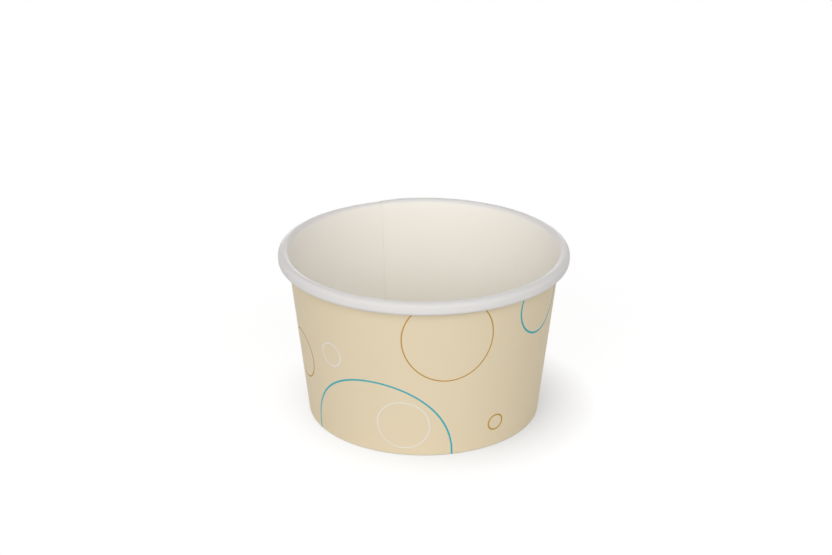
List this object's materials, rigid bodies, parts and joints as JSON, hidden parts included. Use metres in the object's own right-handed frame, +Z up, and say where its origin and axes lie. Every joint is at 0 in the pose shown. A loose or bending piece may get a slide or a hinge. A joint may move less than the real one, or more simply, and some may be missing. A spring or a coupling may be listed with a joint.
{
  "type": "paper dessert cup",
  "caption": "Short tapered paperboard cup for desserts, with a rolled rim, a lapped side seam and a recessed bottom disc held in the folded foot.",
  "frame": {"origin": "centre of the foot ring, on the table", "axes": "+Z up along the cup's axis; the side seam stands behind, at 109 degrees counter-clockwise from +X, so the plain front faces -Y"},
  "size_m": [0.096, 0.096, 0.057],
  "materials": {
    "printed_board": "beige printed and coated paperboard, white on its inner face",
    "white_board": "white film-coated paperboard"
  },
  "bodies": {
    "root": {"side_wall": "printed_board", "bottom_disc": "white_board"}
  },
  "joints": []
}
